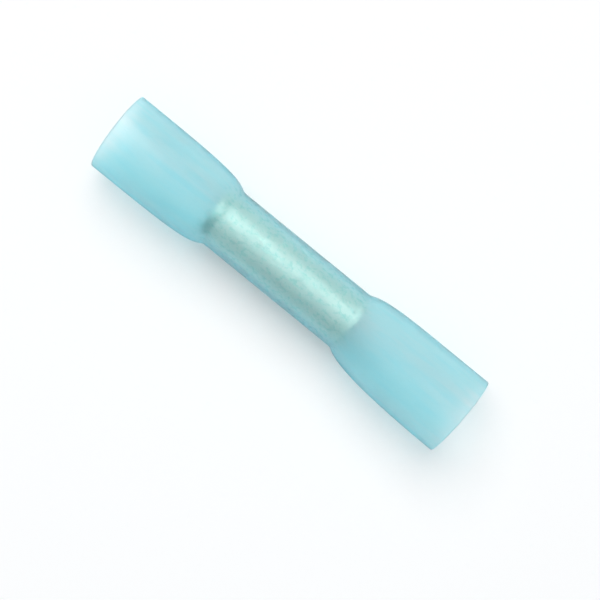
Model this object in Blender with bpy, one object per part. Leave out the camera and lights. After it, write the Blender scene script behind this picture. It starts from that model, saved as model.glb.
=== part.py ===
# Heat-shrink butt splice connector, lying on its side.
# X runs along the connector, Z is up and the surface it lies on is Z = 0.
# All lengths are in metres.

import math

import bmesh
import bpy
from mathutils import Matrix

MM = 0.001

# Sleeve: one length of translucent tubing, shrunk over the barrel in the middle
SLEEVE_LENGTH = 37.2 * MM       # on its longer side
TUBE_BORE = 6.4 * MM            # of the tubing before it was shrunk
TUBE_WALL = 0.43 * MM
LEFT_MOUTH = 7.04 * MM          # mean outer diameter of the left open end
RIGHT_MOUTH = 7.28 * MM         # the right end has shrunk less
OUT_OF_ROUND = 0.05 * MM        # a mouth is this much wider, and lower, than its mean radius
FLAT_SPOT = 0.07 * MM           # how far the soft mouths have settled where they lie
LEFT_SHOULDER = 1.4 * MM        # how quickly the tubing opens out past the waist
RIGHT_SHOULDER = 2.2 * MM
SHOULDER_POWER = 0.82           # below 1 a shoulder starts steeply and eases into its mouth
RIGHT_BEND = 0.36 * MM          # the right mouth has bent aside this far at its rim
LEFT_CUT_SKEW = 0.25 * MM       # how far the cuts are from square
RIGHT_CUT_SKEW = 0.17 * MM

# Barrel: a tinned copper tube that both wires are crimped in
BARREL_LENGTH = 15.0 * MM
BARREL_BORE = 2.5 * MM
BARREL_WALL = 0.8 * MM
BARREL_SHIFT = -0.55 * MM       # along X: the barrel isn't quite in the middle of its sleeve
LEAD_IN = 0.25 * MM             # chamfer inside each end, which gathers the strands
DEBURR_RADIUS = 0.12 * MM       # rounding outside each end

# Where the sleeve lifts off the barrel, measured inwards from each end of the barrel
LEFT_LIFT_OFF = 0.9 * MM
RIGHT_LIFT_OFF = 0.4 * MM
SLEEVE_CLEARANCE = 0.08 * MM

# Wire stop: a dimple punched up into the middle of the barrel from below
STOP_DEPTH = 1.0 * MM
STOP_RADIUS = 1.3 * MM

# Resolution
SEGMENTS = 48
MOUTH_STATIONS = 12
STOP_STATIONS = 14
EDGE_STEPS = 3
SHARP_ANGLE = math.radians(40)

# What follows from those
LEFT_RIM = -SLEEVE_LENGTH / 2
RIGHT_RIM = SLEEVE_LENGTH / 2
LEFT_HALF_WIDTH = LEFT_MOUTH / 2 + OUT_OF_ROUND
RIGHT_HALF_WIDTH = RIGHT_MOUTH / 2 + OUT_OF_ROUND
MEAN_MOUTH_RADIUS = (LEFT_MOUTH + RIGHT_MOUTH) / 4
BARREL_RADIUS = BARREL_BORE / 2 + BARREL_WALL
BARREL_LEFT = BARREL_SHIFT - BARREL_LENGTH / 2
BARREL_RIGHT = BARREL_SHIFT + BARREL_LENGTH / 2
WAIST_LEFT = BARREL_LEFT + LEFT_LIFT_OFF
WAIST_RIGHT = BARREL_RIGHT - RIGHT_LIFT_OFF
WAIST_BORE_RADIUS = BARREL_RADIUS + SLEEVE_CLEARANCE
# Tubing keeps its area of section as it shrinks, so its wall thickens on the barrel.
WALL_SQUARE = (TUBE_BORE / 2 + TUBE_WALL) ** 2 - (TUBE_BORE / 2) ** 2
WAIST_RADIUS = math.sqrt(WAIST_BORE_RADIUS**2 + WALL_SQUARE)
# A facet, not an edge, faces straight down, and the mouths lie on it at Z = 0.
HALF_FACET = math.pi / SEGMENTS
FACET_SHARE = math.cos(HALF_FACET)
BARREL_HEIGHT = (MEAN_MOUTH_RADIUS - OUT_OF_ROUND) * FACET_SHARE - FLAT_SPOT
# Keeps the footprint centred on the origin although one mouth has bent aside
BARREL_Y = (RIGHT_BEND + RIGHT_HALF_WIDTH - LEFT_HALF_WIDTH) / 2


def opening_out(distance, full_distance, shoulder):
    # 0 at the waist and 1 at the rim
    def eased(along):
        return 1.0 - math.exp(-((along / shoulder) ** SHOULDER_POWER))

    return eased(distance) / eased(full_distance)


def mouth_share(x):
    # 0 where the sleeve grips the barrel, and 1 at either rim
    if x < WAIST_LEFT:
        return opening_out(WAIST_LEFT - x, WAIST_LEFT - LEFT_RIM, LEFT_SHOULDER)
    if x > WAIST_RIGHT:
        return opening_out(x - WAIST_RIGHT, RIGHT_RIM - WAIST_RIGHT, RIGHT_SHOULDER)
    return 0.0


def mouth_radius(x):
    return (LEFT_MOUTH if x < BARREL_SHIFT else RIGHT_MOUTH) / 2


def sleeve_radius(x):
    return WAIST_RADIUS + (mouth_radius(x) - WAIST_RADIUS) * mouth_share(x)


def sleeve_bore_radius(x):
    if WAIST_LEFT <= x <= WAIST_RIGHT:
        return WAIST_BORE_RADIUS
    return math.sqrt(sleeve_radius(x) ** 2 - WALL_SQUARE)


def sleeve_stations():
    # Rings from rim to rim, closer together where the shoulders curve
    eased = [(i / MOUTH_STATIONS) ** 2 for i in range(MOUTH_STATIONS + 1)]
    left = [WAIST_LEFT + (LEFT_RIM - WAIST_LEFT) * share for share in reversed(eased)]
    right = [WAIST_RIGHT + (RIGHT_RIM - WAIST_RIGHT) * share for share in eased]
    return left + right


def sleeve_profile():
    stations = sleeve_stations()
    outside = [(x, sleeve_radius(x)) for x in stations]
    inside = [(x, sleeve_bore_radius(x)) for x in reversed(stations)]
    return outside + inside


def rounded_edge(x_end, direction):
    # The barrel's outer edge, from its side wall to its end face
    middle_x = x_end - direction * DEBURR_RADIUS
    middle_radius = BARREL_RADIUS - DEBURR_RADIUS
    angles = [math.pi / 2 * i / EDGE_STEPS for i in range(EDGE_STEPS + 1)]
    return [
        (
            middle_x + direction * DEBURR_RADIUS * math.sin(angle),
            middle_radius + DEBURR_RADIUS * math.cos(angle),
        )
        for angle in angles
    ]


def barrel_profile():
    bore = BARREL_BORE / 2
    around_stop = [
        BARREL_SHIFT + STOP_RADIUS * (2 * i / STOP_STATIONS - 1)
        for i in range(STOP_STATIONS + 1)
    ]
    outside = list(reversed(rounded_edge(BARREL_LEFT, -1)))
    outside += [(x, BARREL_RADIUS) for x in around_stop]
    outside += rounded_edge(BARREL_RIGHT, 1)
    inside = [(BARREL_RIGHT, bore + LEAD_IN), (BARREL_RIGHT - LEAD_IN, bore)]
    inside += [(x, bore) for x in reversed(around_stop)]
    inside += [(BARREL_LEFT + LEAD_IN, bore), (BARREL_LEFT, bore + LEAD_IN)]
    return outside + inside


def revolve(profile):
    # Turns a closed section of (x, radius) points about X
    mesh = bmesh.new()
    points = [mesh.verts.new((x, 0.0, -radius)) for x, radius in profile]
    lines = [mesh.edges.new(pair) for pair in zip(points, points[1:] + points[:1])]
    start = Matrix.Rotation(HALF_FACET, 3, "X")
    bmesh.ops.rotate(mesh, verts=points, cent=(0, 0, 0), matrix=start)
    bmesh.ops.spin(
        mesh,
        geom=points + lines,
        cent=(0, 0, 0),
        axis=(1, 0, 0),
        angle=2 * math.pi,
        steps=SEGMENTS,
        use_merge=True,
    )
    bmesh.ops.recalc_face_normals(mesh, faces=mesh.faces)
    return mesh


def bent_aside(x):
    # Only the right mouth is bent, and the bend eases off towards its rim
    left_to_go = min(1.0, (RIGHT_RIM - x) / (RIGHT_RIM - WAIST_RIGHT))
    return RIGHT_BEND * (1.0 - left_to_go**2)


def cut_askew(x, y):
    # How far the skewed cuts shift a point of the sleeve along X
    if x < BARREL_SHIFT:
        return LEFT_CUT_SKEW * mouth_share(x) * (1.0 - y / LEFT_HALF_WIDTH) / 2
    return -RIGHT_CUT_SKEW * mouth_share(x) * (1.0 - y / RIGHT_HALF_WIDTH) / 2


def settle_sleeve(mesh):
    # The mouths have gone slightly oval, and each lies on a small flat spot
    for vertex in mesh.verts:
        x, y, z = vertex.co
        share = mouth_share(x)
        radius = math.hypot(y, z)
        rise = (mouth_radius(x) - MEAN_MOUTH_RADIUS) * FACET_SHARE * share
        outside = z / radius * (sleeve_radius(x) - OUT_OF_ROUND * share) + rise
        oval_y = y * (1.0 + OUT_OF_ROUND * share / radius)
        oval_z = z * (1.0 - OUT_OF_ROUND * share / radius)
        vertex.co.x = x + cut_askew(x, oval_y)
        vertex.co.y = oval_y - bent_aside(x)
        vertex.co.z = oval_z + rise + max(0.0, -BARREL_HEIGHT - outside)


def punch_stop(mesh):
    # Pushes both walls of the barrel's underside straight up, deepest in the middle
    for vertex in mesh.verts:
        place = vertex.co
        away = math.hypot(place.x - BARREL_SHIFT, place.y) / STOP_RADIUS
        if place.z < 0.0 and away < 1.0:
            place.z += STOP_DEPTH * (1.0 + math.cos(math.pi * away)) / 2


def plain_material(name, colour, roughness, metallic, transmission):
    material = bpy.data.materials.new(name)
    material.use_nodes = True
    shader = material.node_tree.nodes["Principled BSDF"]
    shader.inputs["Base Color"].default_value = (*colour, 1.0)
    shader.inputs["Roughness"].default_value = roughness
    shader.inputs["Metallic"].default_value = metallic
    shader.inputs["Transmission Weight"].default_value = transmission
    return material


def add_part(name, mesh, material):
    data = bpy.data.meshes.new(name)
    mesh.to_mesh(data)
    mesh.free()
    data.shade_smooth()
    data.set_sharp_from_angle(angle=SHARP_ANGLE)
    data.materials.append(material)
    part = bpy.data.objects.new(name, data)
    part.location = (0.0, BARREL_Y, BARREL_HEIGHT)
    bpy.context.scene.collection.objects.link(part)


def add_sleeve():
    mesh = revolve(sleeve_profile())
    settle_sleeve(mesh)
    blue = plain_material("translucent_blue", (0.27, 0.66, 0.75), 0.45, 0.0, 0.6)
    add_part("heat_shrink_sleeve", mesh, blue)


def add_barrel():
    mesh = revolve(barrel_profile())
    punch_stop(mesh)
    tin = plain_material("tinned_copper", (0.74, 0.75, 0.74), 0.3, 1.0, 0.0)
    add_part("crimp_barrel", mesh, tin)


def main():
    for old in list(bpy.data.objects):
        bpy.data.objects.remove(old)
    add_sleeve()
    add_barrel()


main()
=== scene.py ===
import math

import bmesh
import bpy
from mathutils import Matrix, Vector


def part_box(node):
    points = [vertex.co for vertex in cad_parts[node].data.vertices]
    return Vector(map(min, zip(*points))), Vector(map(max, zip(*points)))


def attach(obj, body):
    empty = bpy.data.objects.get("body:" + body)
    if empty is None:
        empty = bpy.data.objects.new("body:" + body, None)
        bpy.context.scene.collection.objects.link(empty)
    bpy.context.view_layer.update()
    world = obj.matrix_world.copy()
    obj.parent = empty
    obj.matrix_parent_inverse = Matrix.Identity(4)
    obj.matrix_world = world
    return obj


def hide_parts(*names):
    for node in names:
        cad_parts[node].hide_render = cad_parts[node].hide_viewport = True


# Heat-shrink butt splice lying on white paper, seen from straight above.
# Everything is in metres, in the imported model's own frame.

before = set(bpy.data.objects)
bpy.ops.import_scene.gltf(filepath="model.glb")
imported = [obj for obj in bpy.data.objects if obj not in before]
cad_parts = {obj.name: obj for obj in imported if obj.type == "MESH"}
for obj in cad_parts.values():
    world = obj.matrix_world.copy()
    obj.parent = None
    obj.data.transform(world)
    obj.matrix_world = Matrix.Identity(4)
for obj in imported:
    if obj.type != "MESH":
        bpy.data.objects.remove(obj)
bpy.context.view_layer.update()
mm = 0.001
quarterTurn = math.pi / 2
sleeveLow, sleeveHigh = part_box("heat_shrink_sleeve")
barrelLow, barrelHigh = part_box("crimp_barrel")
print("frame loaded:", sorted(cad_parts))


# Helpers for meshes


def meshObject(name, mesh, smoothAngle=math.radians(50)):
    data = bpy.data.meshes.new(name)
    mesh.to_mesh(data)
    mesh.free()
    data.shade_smooth()
    data.set_sharp_from_angle(angle=smoothAngle)
    made = bpy.data.objects.new(name, data)
    bpy.context.scene.collection.objects.link(made)
    return made


def turnedMesh(section, segments, place):
    # A closed skin round the axis; place(x, radius, angle) gives each point of the real piece
    mesh = bmesh.new()
    angles = [2 * math.pi * i / segments for i in range(segments)]
    rows = [[mesh.verts.new(place(x, radius, angle)) for angle in angles] for x, radius in section]
    for row, nextRow in zip(rows, rows[1:] + rows[:1]):
        for i in range(segments):
            j = (i + 1) % segments
            mesh.faces.new((row[i], row[j], nextRow[j], nextRow[i]))
    bmesh.ops.recalc_face_normals(mesh, faces=mesh.faces)
    return mesh


def roundedEdge(x, radius, rounding, start, steps):
    # A quarter of a circle in a turned section, clockwise from this number of quarter turns
    angles = [quarterTurn * (start - i / steps) for i in range(steps + 1)]
    return [(x + rounding * math.cos(a), radius + rounding * math.sin(a)) for a in angles]


# Helpers for node trees


def addNode(tree, kind, **settings):
    node = tree.nodes.new(kind)
    for name, value in settings.items():
        setattr(node, name, value)
    return node


def feed(tree, node, values):
    # Gives a node's inputs their values, each a plain one or another node's output
    for name, value in values.items():
        if isinstance(value, bpy.types.NodeSocket):
            tree.links.new(value, node.inputs[name])
        else:
            node.inputs[name].default_value = value


def calculate(tree, operation, *values):
    node = addNode(tree, "ShaderNodeMath", operation=operation)
    feed(tree, node, dict(enumerate(values)))
    return node.outputs["Value"]


def between(tree, value, low, high, fromLow=0.0, fromHigh=1.0, easing="LINEAR"):
    # Takes a value from one range to another and holds it inside
    part = addNode(tree, "ShaderNodeMapRange", interpolation_type=easing)
    feed(tree, part, {"Value": value, "From Min": fromLow, "From Max": fromHigh})
    feed(tree, part, {"To Min": low, "To Max": high})
    return part.outputs["Result"]


def blend(tree, factor, first, second):
    # A colour between two others
    mix = addNode(tree, "ShaderNodeMix", data_type="RGBA")
    feed(tree, mix, {"Factor": factor, "A": first, "B": second})
    return mix.outputs["Result"]


def coordinate(tree, axis, kind="Object"):
    place = addNode(tree, "ShaderNodeTexCoord")
    axes = addNode(tree, "ShaderNodeSeparateXYZ")
    feed(tree, axes, {"Vector": place.outputs[kind]})
    return axes.outputs[axis]


def newMaterial(name):
    material = bpy.data.materials.new(name)
    material.use_nodes = True
    shader = material.node_tree.nodes["Principled BSDF"]
    return material, material.node_tree, shader


def relief(tree, height, finish):
    bump = addNode(tree, "ShaderNodeBump")
    values = {"Distance": finish["grainDepth"], "Strength": finish["grainStrength"]}
    feed(tree, bump, {"Height": height, **values})
    return bump.outputs["Normal"]


# Effects that both finishes use, with lengths in metres and scales per metre

noiseShape = {"detail": 3.0, "lowest": 0.3, "highest": 0.7}  # the noise seldom goes beyond


def nodeGroup(name, inputs, output):
    group = bpy.data.node_groups.new(name, "ShaderNodeTree")
    group.interface.new_socket("Vector", in_out="INPUT", socket_type="NodeSocketVector")
    for label, value in inputs.items():
        socket = group.interface.new_socket(label, in_out="INPUT", socket_type="NodeSocketFloat")
        socket.default_value = value
    group.interface.new_socket(output, in_out="OUTPUT", socket_type="NodeSocketFloat")
    return group, group.nodes.new("NodeGroupInput"), group.nodes.new("NodeGroupOutput")


def makeGrain():
    # Soft noise from 0 to 1; a small Stretch draws it out along the connector
    group, given, result = nodeGroup("grain", {"Scale": 400.0, "Stretch": 1.0}, "Grain")
    axes = addNode(group, "ShaderNodeSeparateXYZ")
    feed(group, axes, {"Vector": given.outputs["Vector"]})
    drawnOut = calculate(group, "MULTIPLY", axes.outputs["X"], given.outputs["Stretch"])
    joined = addNode(group, "ShaderNodeCombineXYZ")
    feed(group, joined, {"X": drawnOut, "Y": axes.outputs["Y"], "Z": axes.outputs["Z"]})
    noise = addNode(group, "ShaderNodeTexNoise")
    feed(group, noise, {"Vector": joined.outputs["Vector"], "Scale": given.outputs["Scale"]})
    feed(group, noise, {"Detail": noiseShape["detail"]})
    low, high = noiseShape["lowest"], noiseShape["highest"]
    feed(group, result, {"Grain": between(group, noise.outputs["Fac"], 0.0, 1.0, low, high)})
    return group


def makeBeyond():
    # 0 near Middle, 1 farther from it than Reach along X, with a soft step of twice Fade
    inputs = {"Middle": 0.0, "Reach": 7 * mm, "Fade": 1 * mm}
    group, given, result = nodeGroup("beyond", inputs, "Mask")
    axes = addNode(group, "ShaderNodeSeparateXYZ")
    feed(group, axes, {"Vector": given.outputs["Vector"]})
    shifted = calculate(group, "SUBTRACT", axes.outputs["X"], given.outputs["Middle"])
    away = calculate(group, "ABSOLUTE", shifted)
    near = calculate(group, "SUBTRACT", given.outputs["Reach"], given.outputs["Fade"])
    far = calculate(group, "ADD", given.outputs["Reach"], given.outputs["Fade"])
    feed(group, result, {"Mask": between(group, away, 0.0, 1.0, near, far, "SMOOTHSTEP")})
    return group


effects = {"grain": makeGrain(), "beyond": makeBeyond()}
print("effects ready")


def effect(tree, kind, **values):
    # One use of a shared effect, with its own values
    node = addNode(tree, "ShaderNodeGroup", node_tree=effects[kind])
    place = addNode(tree, "ShaderNodeTexCoord")
    feed(tree, node, {"Vector": place.outputs["Object"], **values})
    return node.outputs[0]


# The barrel: a tinned copper tube with a wire stop punched into its underside

barrel = {
    "radius": (barrelHigh.y - barrelLow.y) / 2,
    "bore": 2.5 * mm,
    "leadIn": 0.25 * mm,  # chamfers inside both ends
    "deburr": 0.12 * mm,  # rounding of both outer edges
    "deburrSteps": 6,
    "stopDepth": 1.0 * mm,
    "stopRadius": 1.3 * mm,
    "stopRings": 20,  # to either side of the stop's middle
    "segments": 144,
    "smoothAngle": math.radians(35),
    "finish": {
        "tin": (1.0, 0.975, 0.875, 1.0),
        "dull": (0.90, 0.98, 0.94, 1.0),  # mottles in the plating
        "mottleScale": 4200.0,
        "mottleStretch": 0.7,
        "speck": (0.30, 0.36, 0.34, 1.0),
        "speckScale": 4600.0,
        "speckStretch": 1.0,
        "speckStart": 0.86,  # only the strongest part of the noise shows
        "end": (0.34, 0.68, 0.66, 1.0),  # painted shade at the barrel's ends, where the sleeve lifts off
        "endShift": 0.35 * mm,  # the painted shade covers more of the left end
        "endReach": 7.1 * mm,
        "endFade": 0.4 * mm,
        "shadedSide": -0.9 * mm,  # at lower Y than this the ends get the full painted shade
        "litSide": 0.5 * mm,  # at higher Y than this, facing the lamp, only the next share of it
        "litSideShare": 0.2,
        "metallic": 1.0,
        "smoothest": 0.58,
        "roughest": 0.86,
        "grainDepth": 0.003 * mm,
        "grainStrength": 0.6,
    },
}

axisY = (barrelLow.y + barrelHigh.y) / 2
axisZ = (barrelLow.z + barrelHigh.z) / 2
barrelMiddle = (barrelLow.x + barrelHigh.x) / 2


def stopLift(x, y, z):
    # How far the punch has pushed up a point of the lower half
    away = math.hypot(x - barrelMiddle, y) / barrel["stopRadius"]
    if z > 0.0 or away > 1.0:
        return 0.0
    return barrel["stopDepth"] * (1.0 + math.cos(math.pi * away)) / 2


def punched(x, radius, angle):
    y, z = math.sin(angle) * radius, -math.cos(angle) * radius
    return Vector((x, axisY + y, axisZ + z + stopLift(x, y, z)))


def barrelSection():
    # Outside from left to right, then back through the bore
    outer, inner = barrel["radius"], barrel["bore"] / 2
    edge, steps, leadIn = barrel["deburr"], barrel["deburrSteps"], barrel["leadIn"]
    count = barrel["stopRings"]
    middle = [barrelMiddle + barrel["stopRadius"] * i / count for i in range(-count, count + 1)]
    section = roundedEdge(barrelLow.x + edge, outer - edge, edge, 2, steps)
    section += [(x, outer) for x in middle]
    section += roundedEdge(barrelHigh.x - edge, outer - edge, edge, 1, steps)
    section += [(barrelHigh.x, inner + leadIn), (barrelHigh.x - leadIn, inner)]
    section += [(x, inner) for x in reversed(middle)]
    section += [(barrelLow.x + leadIn, inner), (barrelLow.x, inner + leadIn)]
    return section


def makeBarrel():
    mesh = turnedMesh(barrelSection(), barrel["segments"], punched)
    made = meshObject("tinned_barrel", mesh, barrel["smoothAngle"])
    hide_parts("crimp_barrel")
    return made


def barrelMaterial():
    material, tree, shader = newMaterial("tinPlate")
    finish = barrel["finish"]
    mottle = effect(tree, "grain", Scale=finish["mottleScale"], Stretch=finish["mottleStretch"])
    specks = effect(tree, "grain", Scale=finish["speckScale"], Stretch=finish["speckStretch"])
    dark = between(tree, specks, 0.0, 1.0, finish["speckStart"])
    # Painted shade: the barrel's ends are darkened, fully on the low-Y side and only a little on
    # the side that faces the lamp
    middle = barrelMiddle + finish["endShift"]
    ends = effect(tree, "beyond", Middle=middle, Reach=finish["endReach"], Fade=finish["endFade"])
    side = between(
        tree,
        coordinate(tree, "Y"),
        1.0,
        finish["litSideShare"],
        finish["shadedSide"],
        finish["litSide"],
    )
    plate = blend(tree, mottle, finish["tin"], finish["dull"])
    plate = blend(tree, dark, plate, finish["speck"])
    plate = blend(tree, calculate(tree, "MULTIPLY", ends, side), plate, finish["end"])
    roughness = between(tree, mottle, finish["smoothest"], finish["roughest"])
    feed(tree, shader, {"Base Color": plate, "Roughness": roughness})
    feed(tree, shader, {"Metallic": finish["metallic"], "Normal": relief(tree, mottle, finish)})
    return material


# The sleeve: translucent tubing, shrunk over the barrel between its two open mouths

sleeve = {
    "leftMouth": 7.04 * mm,  # mean outer diameter
    "rightMouth": 7.28 * mm,
    "tubeBore": 6.4 * mm,  # as the tubing is drawn, before it shrinks
    "tubeWall": 0.43 * mm,
    "outOfRound": 0.05 * mm,
    "leftShoulder": 1.4 * mm,
    "rightShoulder": 2.2 * mm,
    "shoulderPower": 0.82,
    "softening": 0.25 * mm,  # soft tubing has no crease where it lifts off the barrel
    "rightBend": 0.36 * mm,
    "leftCutSkew": 0.25 * mm,
    "rightCutSkew": 0.17 * mm,
    "leftLiftOff": 0.9 * mm,  # from the barrel's end, inwards
    "rightLiftOff": 0.4 * mm,
    "clearance": 0.08 * mm,
    "rimRound": 0.07 * mm,
    "rimSteps": 4,
    "segments": 168,
    "mouthRings": 58,
    "ringSpread": 1.6,  # above 1 crowds the rings where the sleeve lifts off
    "waistRings": 36,
    "inset": 0.006 * mm,  # waves only go inwards from here
    "waveDepth": 0.012 * mm,
    "waistWaves": 0.35,  # the share of the waves that stays on the waist
    # Share of the depth, times round, start, and twist along each metre
    "waves": ((0.5, 3, 0.7, 60.0), (0.3, 7, 2.1, -90.0), (0.2, 13, 0.4, 130.0)),
    "finish": {
        "pale": (1.0, 1.0, 1.0, 1.0),
        "even": (0.955, 1.0, 1.0, 1.0),
        "deep": (0.885, 0.992, 1.0, 1.0),
        # Painted highlight and shade: lengthwise bands, pale on the high-Y side that faces the
        # lamp and at both edges, deep on the low-Y side; each at its share of the width from low Y
        # to high Y
        "bands": ((0.02, "pale"), (0.24, "deep"), (0.68, "pale"), (0.84, "even"), (0.97, "pale")),
        "bandScale": 500.0,
        "bandStretch": 0.15,
        "bandSway": 0.7 * mm,
        "haze": (0.79, 0.955, 0.98, 1.0),  # soft streaks along both mouths
        "hazeStart": 0.36,
        "hazeScale": 1350.0,
        "hazeStretch": 0.17,
        "waist": (1.0, 1.0, 1.0, 1.0),
        "waistMottle": (0.64, 0.82, 0.82, 1.0),  # the lining between wall and barrel
        "mottleStart": 0.45,  # only the stronger part of the noise shows
        "mottleScale": 3000.0,
        "mottleStretch": 0.8,
        "waistReach": 7.4 * mm,  # from the barrel's middle to where the mouths' look begins
        "waistFade": 1.2 * mm,
        "mouthRoughness": 0.56,
        "waistRoughness": 0.50,
        "grainRoughness": 0.05,
        "grainScale": 5200.0,
        "grainStretch": 0.5,
        "grainDepth": 0.006 * mm,
        "grainStrength": 0.5,
        "coat": 0.35,
        "dullestWaist": 0.25,  # added to the coat where the skin is stretched over the barrel
        "shiniestWaist": 0.65,
        "coatRoughness": 0.42,
        "transmission": 0.92,
        "ior": 1.2,
        "wallTint": (0.10, 0.88, 0.96, 1.0),  # what the thickness of the wall lets through
        "wallDepth": 435.0,
    },
}

leftRim, rightRim = sleeveLow.x, sleeveHigh.x
waistLeft = barrelLow.x + sleeve["leftLiftOff"]
waistRight = barrelHigh.x - sleeve["rightLiftOff"]
waistBore = barrel["radius"] + sleeve["clearance"]
# The tubing keeps its area of section as it shrinks; this is that area over pi
wallSquare = (sleeve["tubeBore"] / 2 + sleeve["tubeWall"]) ** 2 - (sleeve["tubeBore"] / 2) ** 2
waistRadius = math.sqrt(waistBore**2 + wallSquare)
meanMouthRadius = (sleeve["leftMouth"] + sleeve["rightMouth"]) / 4


def openingOut(distance, fullDistance, shoulder):
    def eased(along):
        return 1.0 - math.exp(-((along / shoulder) ** sleeve["shoulderPower"]))

    return eased(distance) / eased(fullDistance)


def creasedShare(x):
    # 0 where the sleeve grips the barrel, 1 at either rim
    if x < waistLeft:
        return openingOut(waistLeft - x, waistLeft - leftRim, sleeve["leftShoulder"])
    if x > waistRight:
        return openingOut(x - waistRight, rightRim - waistRight, sleeve["rightShoulder"])
    return 0.0


def mouthShare(x):
    # The same, averaged over a short way
    weights = {-1.0: 1, -0.5: 2, 0.0: 3, 0.5: 2, 1.0: 1}
    shares = [weights[step] * creasedShare(x + step * sleeve["softening"]) for step in weights]
    return sum(shares) / sum(weights.values())


def mouthRadius(x):
    return (sleeve["leftMouth"] if x < barrelMiddle else sleeve["rightMouth"]) / 2


def sleeveRadius(x):
    return waistRadius + (mouthRadius(x) - waistRadius) * mouthShare(x)


def boreRadius(x):
    return math.sqrt(sleeveRadius(x) ** 2 - wallSquare)


def bentAside(x):
    leftToGo = min(1.0, (rightRim - x) / (rightRim - waistRight))
    return sleeve["rightBend"] * (1.0 - leftToGo**2)


def cutAskew(x, y):
    # Both cuts shorten the sleeve more towards low Y
    skew = sleeve["leftCutSkew"] if x < barrelMiddle else -sleeve["rightCutSkew"]
    halfWidth = mouthRadius(x) + sleeve["outOfRound"]
    return skew * mouthShare(x) * (1.0 - y / halfWidth) / 2


def waveAt(x, angle):
    # Soft lengthwise waves that the tubing keeps from drawing and shrinking
    wave = 0.0
    for share, times, start, twist in sleeve["waves"]:
        wave += share * math.sin(times * angle + start + twist * x)
    kept = sleeve["waistWaves"] + (1.0 - sleeve["waistWaves"]) * mouthShare(x)
    return sleeve["waveDepth"] * kept * (wave - 1.0) / 2


def settled(x, radius, angle):
    # A point of the sleeve after its mouths went slightly oval and settled on the floor
    share = mouthShare(x)
    oval = sleeve["outOfRound"] * share
    reach = radius - sleeve["inset"] + waveAt(x, angle)
    y = math.sin(angle) * (reach + oval)
    rise = (mouthRadius(x) - meanMouthRadius) * share
    z = -math.cos(angle) * (reach - oval) + rise
    outside = -math.cos(angle) * (sleeveRadius(x) - oval) + rise
    lift = max(0.0, -axisZ - outside)
    return Vector((x + cutAskew(x, y), axisY + y - bentAside(x), axisZ + z + lift))


def mouthStations(start, end):
    count, spread = sleeve["mouthRings"], sleeve["ringSpread"]
    return [start + (end - start) * (i / count) ** spread for i in range(count + 1)]


def sleeveSection():
    # Outside from left to right, round the right rim, back inside, round the left rim
    edge, steps, count = sleeve["rimRound"], sleeve["rimSteps"], sleeve["waistRings"]
    leftEnd, rightEnd = leftRim + edge, rightRim - edge
    middle, half = (waistLeft + waistRight) / 2, (waistRight - waistLeft) / 2
    waist = [middle - half * math.cos(math.pi * i / count) for i in range(1, count)]
    left = mouthStations(waistLeft, leftEnd)[::-1]
    stations = left + waist + mouthStations(waistRight, rightEnd)
    section = [(x, sleeveRadius(x)) for x in stations[:-1]]
    section += roundedEdge(rightEnd, sleeveRadius(rightEnd) - edge, edge, 1, steps)
    section += roundedEdge(rightEnd, boreRadius(rightEnd) + edge, edge, 0, steps)
    section += [(x, boreRadius(x)) for x in stations[-2:0:-1]]
    section += roundedEdge(leftEnd, boreRadius(leftEnd) + edge, edge, -1, steps)
    section += roundedEdge(leftEnd, sleeveRadius(leftEnd) - edge, edge, 2, steps)
    return section[:-1]


def makeSleeve():
    made = meshObject("shrink_sleeve", turnedMesh(sleeveSection(), sleeve["segments"], settled))
    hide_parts("heat_shrink_sleeve")
    return made


def paintedLightBands(tree, finish):
    # Painted highlight and shade in lengthwise bands across Y, with edges that sway a little along
    # the tubing
    uneven = effect(tree, "grain", Scale=finish["bandScale"], Stretch=finish["bandStretch"])
    sway = between(tree, uneven, -finish["bandSway"], finish["bandSway"])
    shifted = calculate(tree, "ADD", coordinate(tree, "Y"), sway)
    reach = sleeve["leftMouth"] / 2
    ramp = addNode(tree, "ShaderNodeValToRGB")
    feed(tree, ramp, {"Fac": between(tree, shifted, 0.0, 1.0, -reach, reach)})
    ramp.color_ramp.interpolation = "EASE"
    stops = ramp.color_ramp.elements
    while len(stops) < len(finish["bands"]):
        stops.new(0.5)  # moved to its own place below
    for stop, (position, name) in zip(stops, finish["bands"]):
        stop.position = position
        stop.color = finish[name]
    return ramp.outputs["Color"]


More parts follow.
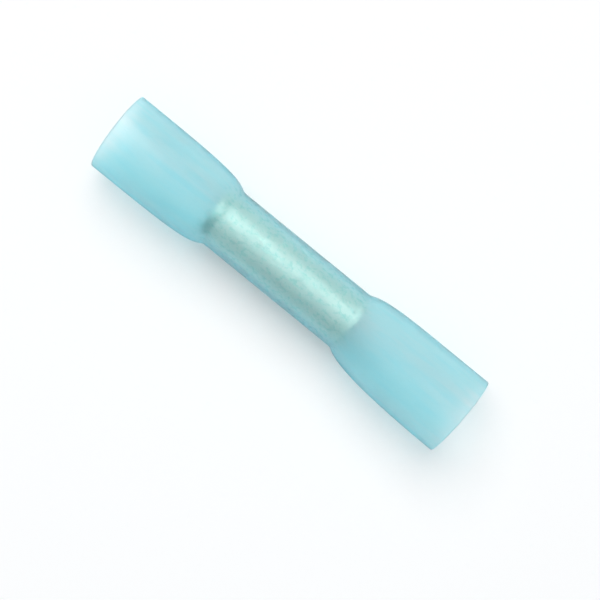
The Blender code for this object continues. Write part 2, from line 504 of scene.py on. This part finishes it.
def sleeveMaterial():
    material, tree, shader = newMaterial("translucentBlue")
    finish = sleeve["finish"]
    inMouth = effect(
        tree, "beyond", Middle=barrelMiddle, Reach=finish["waistReach"], Fade=finish["waistFade"]
    )
    mottle = effect(tree, "grain", Scale=finish["mottleScale"], Stretch=finish["mottleStretch"])
    haze = effect(tree, "grain", Scale=finish["hazeScale"], Stretch=finish["hazeStretch"])
    grain = effect(tree, "grain", Scale=finish["grainScale"], Stretch=finish["grainStretch"])

    mottles = between(tree, mottle, 0.0, 1.0, finish["mottleStart"])
    waistTint = blend(tree, mottles, finish["waist"], finish["waistMottle"])
    streaks = between(tree, haze, 0.0, 1.0, finish["hazeStart"])
    # The mouths' colour carries the painted highlight and shade bands, with the real streaks over
    # them
    mouthTint = blend(tree, streaks, paintedLightBands(tree, finish), finish["haze"])
    satin = between(tree, inMouth, finish["waistRoughness"], finish["mouthRoughness"])
    uneven = between(tree, grain, 0.0, finish["grainRoughness"])
    onWaist = between(tree, inMouth, 1.0, 0.0)
    stretched = between(tree, mottle, finish["shiniestWaist"], finish["dullestWaist"])
    surface = {
        "Base Color": blend(tree, inMouth, waistTint, mouthTint),
        "Roughness": calculate(tree, "ADD", satin, uneven),
        "Normal": relief(tree, grain, finish),
        "Coat Weight": calculate(tree, "MULTIPLY_ADD", stretched, onWaist, finish["coat"]),
        "Coat Roughness": finish["coatRoughness"],
        "Transmission Weight": finish["transmission"],
        "IOR": finish["ior"],
    }
    feed(tree, shader, surface)

    wall = addNode(tree, "ShaderNodeVolumeAbsorption")
    feed(tree, wall, {"Color": finish["wallTint"], "Density": finish["wallDepth"]})
    feed(tree, tree.nodes["Material Output"], {"Volume": wall.outputs["Volume"]})
    return material


# The stage: paper, lamp, world and camera

stage = {
    "paper": (0.868, 0.876, 0.887, 1.0),  # where it is seen directly or through the sleeve
    "paperBounce": (0.90, 0.90, 0.905, 1.0),  # for the light that it sends to the connector
    "paperGlow": 0.13,
    "glowColour": (1.0, 1.0, 1.0, 1.0),
    "paperSize": 1.2,
    "roomColour": (0.93, 0.985, 1.03, 1.0),
    "roomSide": 0.15,  # strength of the light from the level of the paper
    "roomTop": 0.60,  # and from straight above
    "pictureTurn": math.radians(39.22),  # the connector lies this far round in the picture
    "keyColour": (1.0, 0.965, 0.925),
    "keyTurn": math.radians(43),  # 0 would be square to the connector
    "keyTilt": math.radians(30),
    "keyDistance": 1.0,
    "keySize": 0.95,
    "keyShare": 0.68,  # of the light that makes flat white paper white
    "cameraPlace": (0.00215, -0.00103, 0.1530),
    "cameraLens": 108.0,  # in millimetres, as the sensor is
    "cameraSensor": 36.0,
    "cameraNear": 0.005,
    "cameraFar": 10.0,
}


def bounceSwitch(tree):
    # 1 for what the eye sees directly, in a mirror or through glass, 0 for bounced light
    path = addNode(tree, "ShaderNodeLightPath").outputs
    seen = calculate(tree, "MAXIMUM", path["Is Camera Ray"], path["Is Glossy Ray"])
    return calculate(tree, "MAXIMUM", seen, path["Is Transmission Ray"])


def makePaper():
    mesh = bmesh.new()
    bmesh.ops.create_grid(mesh, x_segments=1, y_segments=1, size=stage["paperSize"] / 2)
    paper = meshObject("paper", mesh)
    material, tree, shader = newMaterial("whitePaper")
    seen = bounceSwitch(tree)
    surface = {
        "Base Color": blend(tree, seen, stage["paperBounce"], stage["paper"]),
        "Emission Color": stage["glowColour"],
        "Emission Strength": calculate(tree, "MULTIPLY", seen, stage["paperGlow"]),
        "Roughness": 1.0,
        "Specular IOR Level": 0.0,
    }
    feed(tree, shader, surface)
    paper.data.materials.append(material)


def makeWorld():
    # A pale room that is brightest overhead
    world = bpy.data.worlds.new("softRoom")
    world.use_nodes = True
    tree = world.node_tree
    height = coordinate(tree, "Z", "Generated")
    strength = between(tree, height, stage["roomSide"], stage["roomTop"], easing="SMOOTHSTEP")
    feed(tree, tree.nodes["Background"], {"Color": stage["roomColour"], "Strength": strength})
    bpy.context.scene.world = world


def makeLamp():
    # The window light comes from the top of the picture and high up
    turn, tilt = stage["keyTurn"], stage["keyTilt"]
    aside = Vector((-math.sin(turn), math.cos(turn), 0.0))
    towards = aside * math.sin(tilt) + Vector((0.0, 0.0, math.cos(tilt)))
    lamp = bpy.data.lights.new("windowLight", "AREA")
    lamp.shape = "DISK"
    lamp.size = stage["keySize"]
    lamp.color = stage["keyColour"]
    # The power that gives its share of white on paper that lies flat
    lamp.energy = stage["keyShare"] * (math.pi * stage["keyDistance"]) ** 2 / math.cos(tilt)
    holder = bpy.data.objects.new("windowLight", lamp)
    holder.location = towards * stage["keyDistance"]
    holder.rotation_euler = towards.to_track_quat("Z", "Y").to_euler()
    bpy.context.scene.collection.objects.link(holder)


def makeCamera():
    lens = bpy.data.cameras.new("fromAbove")
    lens.lens = stage["cameraLens"]
    lens.sensor_width = stage["cameraSensor"]
    lens.clip_start = stage["cameraNear"]
    lens.clip_end = stage["cameraFar"]
    holder = bpy.data.objects.new("fromAbove", lens)
    holder.location = stage["cameraPlace"]
    holder.rotation_euler = (0.0, 0.0, stage["pictureTurn"])
    bpy.context.scene.collection.objects.link(holder)
    bpy.context.scene.camera = holder


def dress(piece, material):
    piece.data.materials.clear()
    piece.data.materials.append(material)
    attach(piece, "root")


makeCamera()
makeWorld()
makeLamp()
makePaper()
print("stage ready")

dress(makeSleeve(), sleeveMaterial())
print("sleeve ready")
dress(makeBarrel(), barrelMaterial())
print("barrel ready")

bpy.context.scene.view_settings.view_transform = "Standard"
